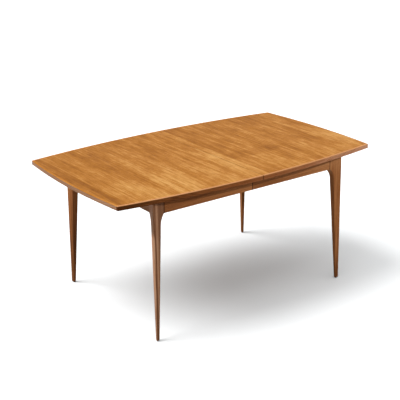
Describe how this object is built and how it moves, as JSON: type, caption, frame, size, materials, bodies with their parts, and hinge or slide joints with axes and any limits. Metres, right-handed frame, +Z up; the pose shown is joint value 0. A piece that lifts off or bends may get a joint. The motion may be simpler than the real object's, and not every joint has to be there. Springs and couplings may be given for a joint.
{
  "type": "extending dining table",
  "caption": "Wooden dining table with bowed edges and tapered legs; its halves pull apart on geared wooden slides to take leaves.",
  "frame": {"origin": "on the floor under the middle of the closed table", "axes": "+X along the table's length, the way the right half pulls out; +Y across it to the back; +Z up"},
  "size_m": [1.6219, 0.97, 0.74],
  "materials": {
    "top_veneer": "satin lacquered veneer, grain across the table",
    "edge_lipping": "satin lacquered solid wood",
    "frame_wood": "satin lacquered walnut",
    "leg_wood": "satin lacquered walnut",
    "inner_wood": "sawn softwood",
    "slide_wood": "planed hardwood",
    "dowel_wood": "turned hardwood",
    "gear_steel": "zinc plated",
    "bolt_steel": "zinc plated",
    "lock_steel": "zinc plated",
    "screw_brass": "dull brass",
    "glide_plastic": "dark nylon"
  },
  "bodies": {
    "left_half": {"left_top_panel": "top_veneer", "left_end_lipping": "edge_lipping", "left_front_lipping": "edge_lipping", "left_back_lipping": "edge_lipping", "left_end_apron": "frame_wood", "left_front_apron": "frame_wood", "left_back_apron": "frame_wood", "left_front_leg": "leg_wood", "left_back_leg": "leg_wood", "left_foot_glides": "glide_plastic", "left_corner_blocks": "inner_wood", "left_leg_bolts": "bolt_steel", "left_leg_nuts": "bolt_steel", "left_top_cleats": "inner_wood", "left_cleat_screws": "screw_brass", "left_rail_packers": "inner_wood", "left_rail_screws": "bolt_steel", "left_rack_screws": "bolt_steel", "left_stop_pegs": "slide_wood", "front_left_rail": "slide_wood", "front_left_rack": "gear_steel", "back_left_rail": "slide_wood", "back_left_rack": "gear_steel", "seam_dowels": "dowel_wood", "lock_plates": "lock_steel", "lock_pivots": "lock_steel", "lock_plate_screws": "bolt_steel"},
    "right_half": {"right_top_panel": "top_veneer", "right_end_lipping": "edge_lipping", "right_front_lipping": "edge_lipping", "right_back_lipping": "edge_lipping", "right_end_apron": "frame_wood", "right_front_apron": "frame_wood", "right_back_apron": "frame_wood", "right_front_leg": "leg_wood", "right_back_leg": "leg_wood", "right_foot_glides": "glide_plastic", "right_corner_blocks": "inner_wood", "right_leg_bolts": "bolt_steel", "right_leg_nuts": "bolt_steel", "right_top_cleats": "inner_wood", "right_cleat_screws": "screw_brass", "right_rail_packers": "inner_wood", "right_rail_screws": "bolt_steel", "right_rack_screws": "bolt_steel", "right_stop_pegs": "slide_wood", "front_right_rail": "slide_wood", "front_right_rack": "gear_steel", "back_right_rail": "slide_wood", "back_right_rack": "gear_steel", "lock_keepers": "lock_steel", "keeper_screws": "bolt_steel"},
    "mid_slides": {"front_mid_rail": "slide_wood", "back_mid_rail": "slide_wood", "pinion_studs": "bolt_steel"},
    "front_pinion": {"front_pinion": "gear_steel"},
    "back_pinion": {"back_pinion": "gear_steel"},
    "front_lock": {"front_lock_lever": "lock_steel"},
    "back_lock": {"back_lock_lever": "lock_steel"}
  },
  "joints": [
    {"name": "extension", "type": "slide", "parent": "left_half", "child": "right_half", "axis": [1, 0, 0], "range_m": [0, 0.61]},
    {"name": "mid_slide", "type": "slide", "parent": "left_half", "child": "mid_slides", "axis": [1, 0, 0], "range_m": [0, 0.305]},
    {"name": "front_pinion_spin", "type": "hinge", "parent": "mid_slides", "child": "front_pinion", "pos_m": [0, -0.18, 0.6646], "axis": [0, 0, 1], "range_deg": [-1170, 0]},
    {"name": "back_pinion_spin", "type": "hinge", "parent": "mid_slides", "child": "back_pinion", "pos_m": [0, 0.18, 0.6646], "axis": [0, 0, 1], "range_deg": [-1170, 0]},
    {"name": "front_lock_turn", "type": "hinge", "parent": "left_half", "child": "front_lock", "pos_m": [-0.032, -0.0737, 0.7117], "axis": [0, 0, 1], "range_deg": [-60, 0]},
    {"name": "back_lock_turn", "type": "hinge", "parent": "left_half", "child": "back_lock", "pos_m": [-0.032, 0.0737, 0.7117], "axis": [0, 0, 1], "range_deg": [-60, 0]}
  ],
  "couplings": [
    {"joint": "mid_slide", "follows": "extension", "ratio": 0.5},
    {"joint": "front_pinion_spin", "follows": "extension", "rad_per_m": -33.333},
    {"joint": "back_pinion_spin", "follows": "extension", "rad_per_m": -33.333}
  ]
}
